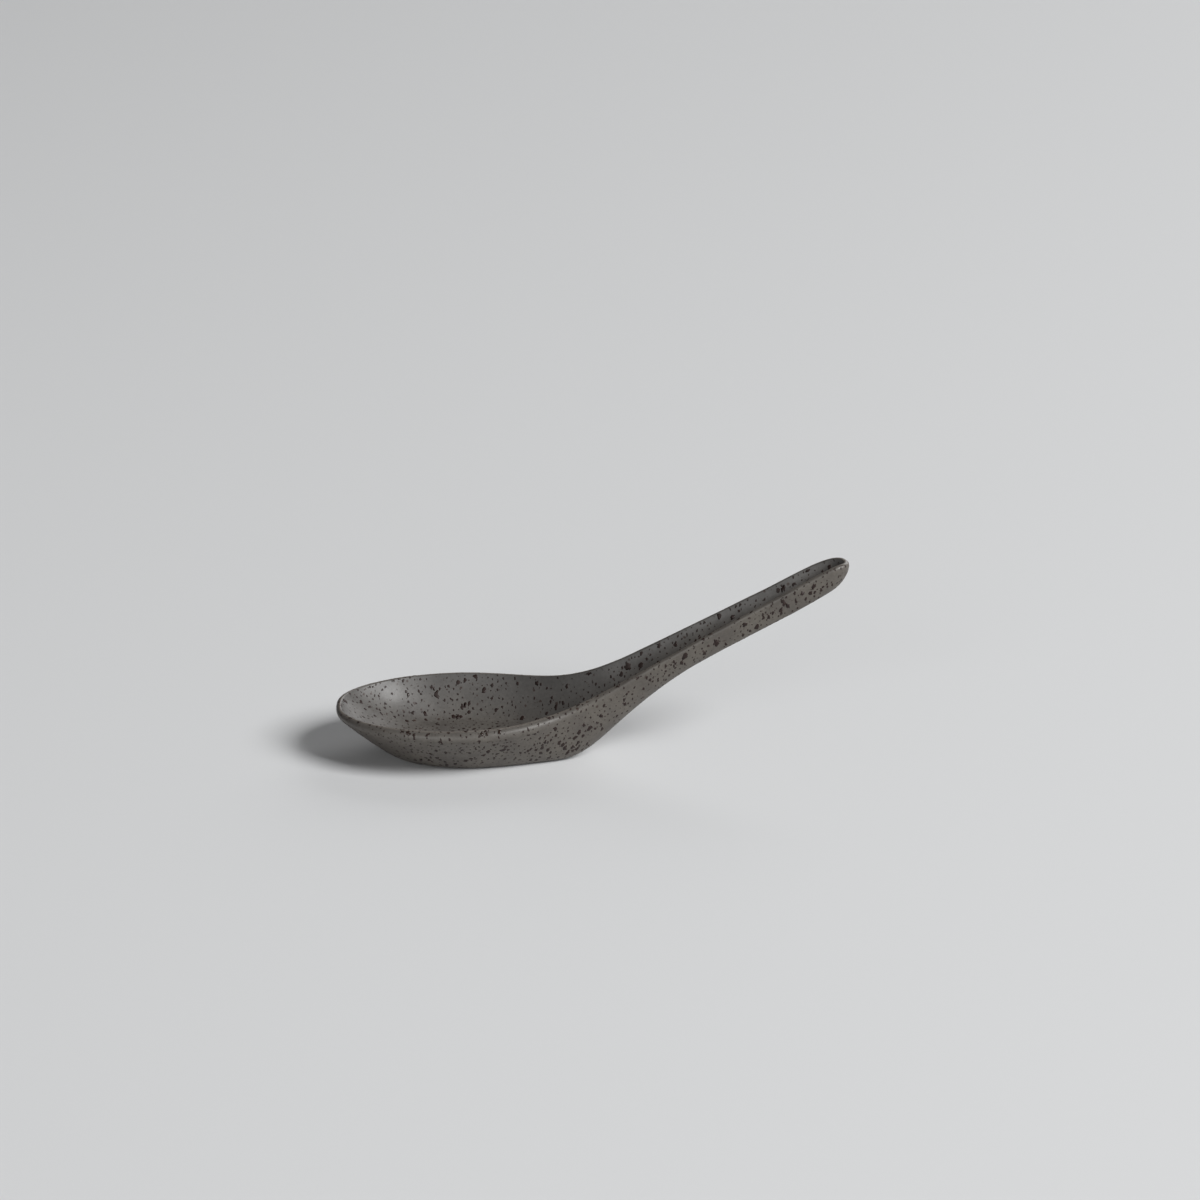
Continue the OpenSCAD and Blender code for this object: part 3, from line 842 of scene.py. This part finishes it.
# %% Glaze and clay
glaze = grow("satin_glaze", coat, stations, finish=satin_glaze)
clay = grow("fired_clay", body, stations, finish=bare_stoneware)
print("pieces:", glaze.name, clay.name)

# %% [markdown]
# ## Iron speckles
# The largest speckles are pools of iron that came up through the glaze: low domes with ragged outlines, up
# to two millimetres across. The ones that the picture shows are listed by their pixel and their width in
# tenths of a millimetre. The rest are scattered with a fixed seed.

# %% Speckles that the picture shows
SEEN_SPECKLES = [
    # Inside the bowl, from its tip to the throat.
    (341, 705, 13), (345, 701, 12), (350, 694, 7), (346, 715, 12), (350, 718, 9), (359, 722, 10),
    (406, 692, 7), (419, 691, 7), (432, 687, 7), (353, 701, 5), (357, 697, 6), (361, 692, 5), (361, 702, 9),
    (365, 709, 7), (369, 707, 5), (370, 687, 5), (373, 687, 6), (373, 699, 5), (379, 696, 6), (377, 709, 6),
    (381, 713, 7), (385, 708, 6), (375, 716, 7), (382, 719, 5), (370, 725, 7), (381, 728, 6), (394, 681, 5),
    (399, 679, 6), (403, 681, 7), (410, 677, 6), (404, 712, 5), (412, 705, 5), (408, 708, 4), (413, 713, 9),
    (425, 714, 12), (426, 720, 7), (407, 721, 9), (434, 710, 5), (444, 712, 8), (437, 695, 14),
    (437, 724, 11), (445, 700, 7), (452, 700, 6), (449, 686, 8), (458, 682, 8), (465, 680, 8),
    (476, 677, 10), (462, 707, 9), (465, 705, 11), (469, 703, 9), (469, 712, 7), (454, 717, 9),
    (458, 717, 10), (461, 717, 8), (484, 690, 13), (492, 685, 8), (492, 698, 6), (499, 698, 5),
    (496, 710, 8), (502, 707, 6), (512, 702, 6), (516, 707, 5), (523, 698, 5), (522, 718, 10), (536, 719, 5),
    (549, 718, 7), (537, 683, 10), (541, 684, 6), (567, 686, 8), (543, 705, 5), (552, 698, 7), (551, 702, 7),
    (556, 707, 10), (563, 703, 8), (569, 704, 5), (576, 693, 5), (596, 684, 6), (453, 728, 8), (466, 731, 9),
    (475, 731, 6),
    # Outside the bowl, from its tip to the heel.
    (402, 731, 13), (408, 733, 12), (414, 736, 9), (414, 738, 8), (427, 735, 6), (427, 738, 5),
    (429, 734, 5), (441, 732, 7), (441, 739, 5), (441, 743, 12), (449, 733, 5), (453, 731, 8), (485, 731, 8),
    (380, 744, 8), (390, 742, 7), (397, 751, 6), (404, 748, 6), (411, 746, 9), (411, 750, 8), (412, 752, 6),
    (418, 752, 5), (422, 752, 5), (431, 746, 7), (436, 751, 9), (430, 754, 9), (446, 753, 10), (460, 749, 6),
    (463, 750, 6), (460, 752, 7), (455, 754, 6), (470, 753, 8), (479, 742, 10), (476, 748, 5), (479, 747, 6),
    (484, 748, 6), (488, 752, 12), (484, 755, 11), (494, 745, 8), (497, 754, 7), (426, 758, 7),
    (431, 758, 6), (429, 760, 9), (437, 758, 10), (440, 760, 8), (471, 759, 7), (476, 759, 6),
    (466, 761, 11), (494, 758, 8), (454, 761, 6), (415, 760, 8), (421, 760, 10), (445, 762, 9),
    (441, 765, 7), (447, 765, 10), (455, 764, 10), (482, 763, 6), (506, 740, 8), (529, 735, 7),
    (529, 730, 5), (535, 734, 7), (540, 738, 8), (545, 738, 6), (556, 736, 8), (568, 731, 6), (555, 729, 12),
    (551, 740, 8), (545, 742, 10), (559, 743, 10), (548, 743, 5), (540, 743, 5), (534, 745, 7),
    (528, 740, 5), (542, 745, 7), (542, 748, 10), (548, 750, 10), (536, 750, 9), (528, 751, 8),
    (531, 749, 7), (541, 753, 10), (550, 753, 8), (563, 745, 10), (566, 743, 6), (565, 748, 11),
    (573, 747, 12), (578, 743, 10), (579, 746, 8), (573, 751, 11), (577, 749, 11), (582, 750, 6),
    (568, 752, 10), (566, 754, 7), (587, 744, 9), (564, 739, 6), (570, 738, 6), (575, 738, 11),
    (583, 736, 8), (579, 732, 11), (503, 750, 12), (508, 750, 8), (506, 747, 8), (503, 746, 6),
    (514, 744, 6), (519, 746, 6), (511, 746, 5), (507, 743, 5), (511, 742, 5), (511, 752, 5), (521, 753, 6),
    (505, 759, 8), (515, 759, 8), (519, 760, 5), (531, 760, 10), (532, 756, 8), (536, 760, 8), (549, 758, 9),
    (558, 757, 8), (540, 757, 6), (584, 725, 12), (597, 723, 8), (601, 725, 8), (602, 729, 9),
    (590, 728, 13), (595, 729, 7), (601, 716, 11), (617, 716, 7), (578, 705, 8), (566, 714, 6),
    (611, 700, 6), (627, 694, 6), (604, 706, 8), (624, 700, 9), (625, 704, 9), (618, 686, 9),
    # Inside the channel, from the throat to the end of the handle.
    (589, 673, 10), (622, 668, 7), (622, 674, 9), (628, 666, 15), (641, 665, 11), (641, 653, 8),
    (647, 659, 6), (635, 657, 5), (659, 645, 13), (678, 636, 6), (682, 639, 5), (676, 644, 10),
    (687, 634, 4), (704, 622, 7), (719, 616, 10), (740, 604, 9), (739, 611, 7), (733, 617, 10),
    (765, 599, 6), (778, 590, 9), (783, 588, 14), (794, 584, 8), (807, 570, 9), (824, 562, 7), (822, 571, 6),
    (829, 567, 9), (835, 570, 9), (841, 568, 7),
    # Outside the handle, from the throat to its end.
    (638, 678, 12), (647, 678, 7), (650, 680, 7), (658, 681, 6), (666, 680, 6), (663, 676, 6), (669, 675, 7),
    (666, 671, 6), (659, 667, 6), (666, 666, 8), (671, 665, 5), (674, 662, 7), (674, 666, 7), (658, 662, 5),
    (680, 650, 5), (682, 663, 11), (685, 664, 6), (685, 656, 15), (694, 647, 9), (694, 660, 6),
    (704, 654, 9), (703, 639, 8), (710, 634, 10), (715, 641, 10), (717, 644, 11), (719, 638, 4),
    (726, 644, 9), (735, 631, 5), (743, 635, 9), (744, 625, 12), (738, 619, 9), (751, 612, 8),
    (757, 627, 11), (750, 631, 6), (763, 615, 7), (763, 618, 8), (771, 606, 6), (769, 617, 8), (773, 613, 9),
    (781, 610, 10), (781, 614, 8), (788, 606, 9), (784, 603, 11), (782, 600, 12), (796, 601, 10),
    (795, 593, 8), (802, 593, 11), (806, 599, 8), (813, 587, 13), (810, 593, 9), (815, 592, 8),
    (821, 590, 9), (827, 584, 6), (823, 587, 6), (832, 585, 6), (839, 582, 5),
]
SEEN_BEADS = [
    (408, 695, 6), (421, 694, 6), (434, 689, 6), (482, 733, 10), (487, 734, 8), (500, 732, 12),
]
print("listed:", len(SEEN_SPECKLES), "speckles and", len(SEEN_BEADS), "beads")

# %% [markdown]
# ## Their places on the glaze
# A ray from the camera through the pixel meets the glaze where the speckle lies. A speckle fades at its
# edge, so its dome is made wider than the dark that shows.

# %% Places of the speckles
TENTH = 0.1 * MM
PROUD = 0.05 * MM
BEAD_HEIGHT = 0.2 * MM
SPREAD = 1.3
graph = bpy.context.evaluated_depsgraph_get()
glaze_surface = BVHTree.FromObject(glaze, graph)


def seen_at(x, y):
    """Where the ray through a pixel of the picture meets the glaze."""
    middle = PICTURE / 2
    ray = camera.rotation_euler.to_matrix() @ Vector((x - middle, middle - y, -FOCAL_PIXELS))
    return glaze_surface.ray_cast(camera.location, ray.normalized())[0]


found = [(seen_at(x, y), w * TENTH / 2 * SPREAD, PROUD) for x, y, w in SEEN_SPECKLES]
found += [(seen_at(x, y), w * TENTH / 2 * SPREAD, BEAD_HEIGHT) for x, y, w in SEEN_BEADS]
found = [(place, radius, height) for place, radius, height in found if place]
seen = bpy.data.meshes.new("seen_speckles")
seen.from_pydata([place for place, radius, height in found], [], [])
for column, name in ((1, "half_width"), (2, "height")):
    seen.attributes.new(name, "FLOAT", "POINT").data.foreach_set("value", [f[column] for f in found])
print("speckles seen:", len(found), "of", len(SEEN_SPECKLES) + len(SEEN_BEADS))

# %% [markdown]
# ## The scatter
# Iron lies in the clay at random, but never grain on grain, and thicker in some places than in others. A
# Poisson scatter on the outer face of the glaze keeps its points apart, and slow noise thins it out in
# patches. Small speckles are common and large ones rare. Near the listed ones they all stay small, so
# that no stray large one joins those that the picture shows.

# %% Speckle tree: where they lie and how wide they are
DENSEST = 3 / MM ** 2
CLUMP = 9 * MM
CLUMP_LEVELS = (0.38, 0.62, 0.35, 1)
NEAR_SEEN = (3 * MM, 7 * MM, 0, 1)
# The power that makes large speckles rarer than small ones.
RARITY = 1.6
spot, given = new_tree(
    "iron_spots",
    [("Seen", "Geometry"), ("Glaze", "Object"), ("Spacing", "Float", 1.4 * MM),
     ("Smallest", "Float", 0.18 * MM), ("Small", "Float", 0.38 * MM), ("Largest", "Float", 0.75 * MM),
     ("Proud", "Float", PROUD), ("Seed", "Int", 4), ("Finish", "Material")],
    [("Spots", "Geometry")],
)
whole = add(spot, "ObjectInfo", given["Glaze"]).node.outputs["Geometry"]
outside = add(spot, "InputNamedAttribute", "outside", data_type="BOOLEAN")
glaze_face = add(spot, "SeparateGeometry", whole, outside, domain="FACE")
clumps = add(spot, "TexNoise", {"Scale": 1 / CLUMP, "Detail": 1.5})
clumps = add(spot, "MapRange", clumps, *CLUMP_LEVELS)
scatter = add(spot, "DistributePointsOnFaces", glaze_face, None, given["Spacing"], DENSEST,
              clumps, given["Seed"], distribute_method="POISSON")
to_seen = add(spot, "Proximity", given["Seen"], target_element="POINTS")
apart = add(spot, "MapRange", to_seen.node.outputs["Distance"], *NEAR_SEEN)
widest = add(spot, "Mix", apart, given["Small"], given["Largest"])
chance = add(spot, "RandomValue", 0.0, 1.0, None, given["Seed"])
chance = add(spot, "Math POWER", chance, RARITY)
radius = add(spot, "Mix", chance, given["Smallest"], widest)
for label, value in (("half_width", radius), ("height", given["Proud"])):
    scatter = add(spot, "StoreNamedAttribute", scatter, None, label, value)
marked = add(spot, "MeshToPoints", given["Seen"])
sources = add(spot, "JoinGeometry", [scatter, marked])
print("speckle tree: scatter,", len(spot.nodes), "nodes")

# %% [markdown]
# ## A dome on each point
# Each speckle is one low lens of sixty triangles, turned to the face that it lies on. On a steep wall the
# molten iron ran, so its lens is drawn out downhill by a random amount, and made narrower to match.

# %% Speckle tree: a low dome on each, drawn out downhill
LENS_SEGMENTS, LENS_RINGS, LENS_FLATNESS = 10, 4, 0.1
LONGEST_RUN = 1.1
lens = add(spot, "MeshUVSphere", LENS_SEGMENTS, LENS_RINGS, 1)
lens_point = add(spot, "SeparateXYZ", add(spot, "InputPosition"))
lens = add(spot, "StoreNamedAttribute", lens, None, "dome", lens_point.node.outputs["Z"])
lens = add(spot, "Transform", lens, {"Scale": (1, 1, LENS_FLATNESS)})
normal = add(spot, "InputNormal")
face_normal = add(spot, "SampleNearestSurface", glaze_face, normal, data_type="FLOAT_VECTOR")
upright = add(spot, "AlignRotationToVector", None, None, face_normal, axis="Z")
uphill = add(spot, "AlignRotationToVector", upright, None, (0, 0, 1), axis="Y", pivot_axis="Z")
level = add(spot, "SeparateXYZ", face_normal).node.outputs["Z"]
steep = add(spot, "Math ABSOLUTE", level)
steep = add(spot, "Math SUBTRACT", 1, steep)
run = add(spot, "RandomValue", 0.0, LONGEST_RUN, None, given["Seed"])
run = add(spot, "Math MULTIPLY_ADD", run, steep, 1)
run = add(spot, "Math SQRT", run)
width = add(spot, "InputNamedAttribute", "half_width")
wide = add(spot, "Math DIVIDE", width, run)
long = add(spot, "Math MULTIPLY", width, run)
size = add(spot, "CombineXYZ", wide, long, width)
spots = add(spot, "InstanceOnPoints", sources, None, lens, None, None, uphill, size)
spots = add(spot, "RealizeInstances", spots)
print("speckle tree: lenses,", len(spot.nodes), "nodes")

# %% [markdown]
# ## Ragged edges
# Noise as coarse as a speckle pushes the points of each lens about, so no two outlines are alike. Each
# point is then laid back on the glaze, at the height of its dome, with its edge just under the surface.

# %% Speckle tree: ragged outlines, laid on the glaze
RAGGED = 0.7 * MM
# How far the full swing of the noise pushes a point, in half widths of its speckle.
RAGGED_REACH = 3
SUNK = -0.01 * MM
ragged = add(spot, "TexNoise", {"Scale": 1 / RAGGED, "Detail": 2}).node.outputs["Color"]
ragged = add(spot, "VectorMath SUBTRACT", ragged, (NOISE_MIDDLE,) * 3)
reach = add(spot, "Math MULTIPLY", width, RAGGED_REACH)
ragged = add(spot, "VectorMath SCALE", ragged, reach)
spots = add(spot, "SetPosition", spots, None, None, ragged)
on_face = add(spot, "Proximity", glaze_face, target_element="FACES")
dome = add(spot, "InputNamedAttribute", "dome")
height = add(spot, "InputNamedAttribute", "height")
stand = add(spot, "Math MULTIPLY_ADD", dome, height, SUNK)
place = add(spot, "VectorMath MULTIPLY_ADD", face_normal, stand, on_face)
spots = add(spot, "SetPosition", spots, None, place)
finish_tree(spot, spots, given["Finish"])

# %% [markdown]
# ## Speckles, grown
# This tree runs on the listed points, and it reads the glaze that was just made.

# %% Speckles
speckles = grow("iron_spots", spot, seen, glaze=glaze, finish=iron_spot)
print("pieces:", glaze.name, clay.name, speckles.name)

# %% [markdown]
# ## Ride and replace
# All three pieces belong to the one body, and each stands for the solid of the same material.

# %% Frame calls
BODY = "root"
for piece, node, slot in (
    (glaze, "glaze_coat", "glaze"),
    (clay, "stoneware_body", "stoneware"),
    (speckles, "iron_speckles", "iron_spots"),
):
    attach(piece, BODY)
    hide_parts(node)
    print(piece.name, "rides on", BODY, "and stands for", node)

# %% [markdown]
# ## Floor
# The spoon stands on a plain pale floor, wide enough to fill the picture from any side.

# %% Floor
FLOOR = 4.0
floor_mesh = bpy.data.meshes.new("floor")
floor_mesh.from_pydata([(-FLOOR, -FLOOR, 0), (FLOOR, -FLOOR, 0), (FLOOR, FLOOR, 0), (-FLOOR, FLOOR, 0)], [],
                       [(0, 1, 2, 3)])
floor = new_object("floor", floor_mesh)
paper, tree = new_material("pale_floor")
shader = add(tree, "BsdfPrincipled", {"Base Color": linear("#D2D3D4"), "Roughness": 0.9})
add(tree, "OutputMaterial", shader)
floor_mesh.materials.append(paper)
print("floor:", 2 * FLOOR, "m square")

# %% [markdown]
# ## Light
# The shadow falls to the left of the bowl and behind it, and the sheen on the near rim sits where the rim
# turns towards the handle. So the main light comes from the right, a little in front, at about 38 degrees.
# Its lamp is broad and a few metres away, for a soft shadow and an even floor. A low lamp in front lifts
# the near wall, which the main light only grazes. Another one behind lays the sheen on the inside of the
# bowl and a thin light along the rim. The world is nearly dark and keeps the shadows from going black.
# Together they light a level surface at about 1, so that a colour shows as it is written.

# %% Light
WORLD_LEVEL = 0.05
# Each lamp has a name, the direction that it stands in, its distance, its width and its power.
LAMPS = [
    ("key", (0.68, -0.35, 0.60), 4.5, 2, 244),
    ("front_fill", (-0.30, -0.93, 0.26), 4, 2.5, 56),
    ("back_fill", (0.40, 0.80, 0.42), 4, 2.5, 48),
]
for name, direction, distance, width, power in LAMPS:
    direction = Vector(direction).normalized()
    lamp = new_object(name, bpy.data.lights.new(name, "AREA"))
    lamp.data.size = width
    lamp.data.energy = power
    lamp.location = direction * distance
    lamp.rotation_euler = direction.to_track_quat("Z", "Y").to_euler()
    print(name + ":", round(math.degrees(math.asin(direction.z))), "degrees up")
world = bpy.data.worlds.new("world")
world.use_nodes = True
tree = world.node_tree
tree.nodes.clear()
background = add(tree, "Background", {"Color": linear("#FFFFFF"), "Strength": WORLD_LEVEL})
add(tree, "OutputWorld", background)
bpy.context.scene.world = world
bpy.context.scene.view_settings.view_transform = "Standard"
